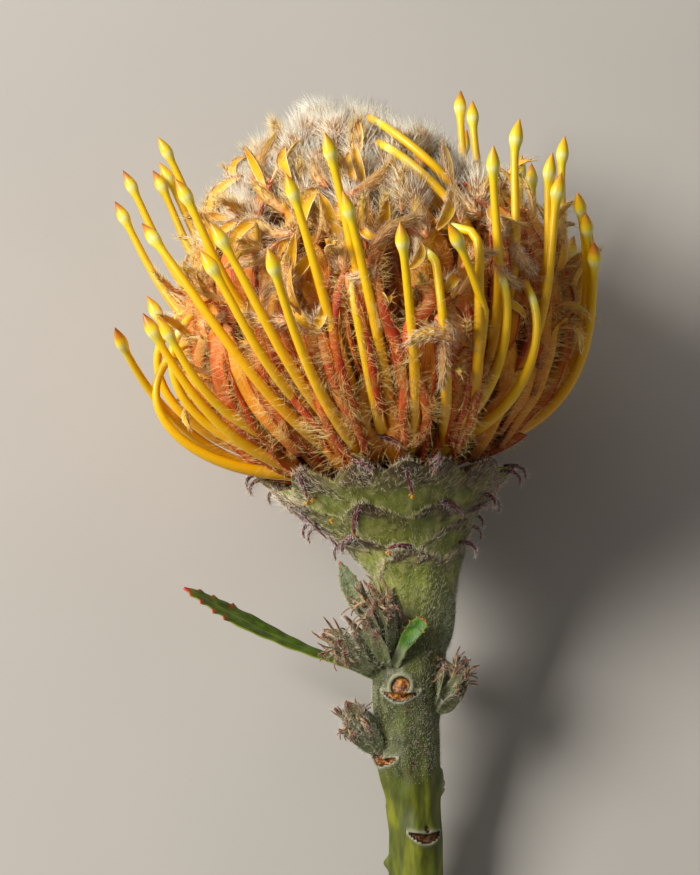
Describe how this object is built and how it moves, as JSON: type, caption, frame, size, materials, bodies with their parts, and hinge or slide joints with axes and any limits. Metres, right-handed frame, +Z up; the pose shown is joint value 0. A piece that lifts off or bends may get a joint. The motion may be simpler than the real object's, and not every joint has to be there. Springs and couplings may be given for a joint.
{
  "type": "pincushion protea flower",
  "caption": "Cut pincushion protea bloom lying down: curved yellow styles round an orange, woolly head, on a bracted stem with a leaf and side shoots.",
  "frame": {"origin": "centre of the bounding box's underside, on the table the bloom lies on", "axes": "+Y from the cut end of the stem towards the flower head, +Z up from the table, +X to the right of the bloom seen from above"},
  "size_m": [0.1032, 0.1908, 0.0996],
  "materials": {
    "style": "smooth, waxy plant tissue, slightly glossy",
    "stem": "matte green bark and bracts with short pale wool",
    "perianth": "soft satin floret tissue with long pale hairs",
    "wool": "closed florets under dense cream wool",
    "shoot": "matte grey-green, short wool, red tips",
    "leaf": "leathery, slightly glossy, red-tipped teeth"
  },
  "bodies": {
    "root": {"styles": "style", "stem": "stem", "perianths": "perianth", "closed_florets": "wool", "shoot_upper": "shoot", "shoot_left": "shoot", "shoot_lower": "shoot", "shoot_right": "shoot", "shoot_far": "shoot", "leaf_front": "leaf", "leaf_grey": "leaf", "leaf_long": "leaf", "scale_right": "shoot"}
  },
  "joints": []
}
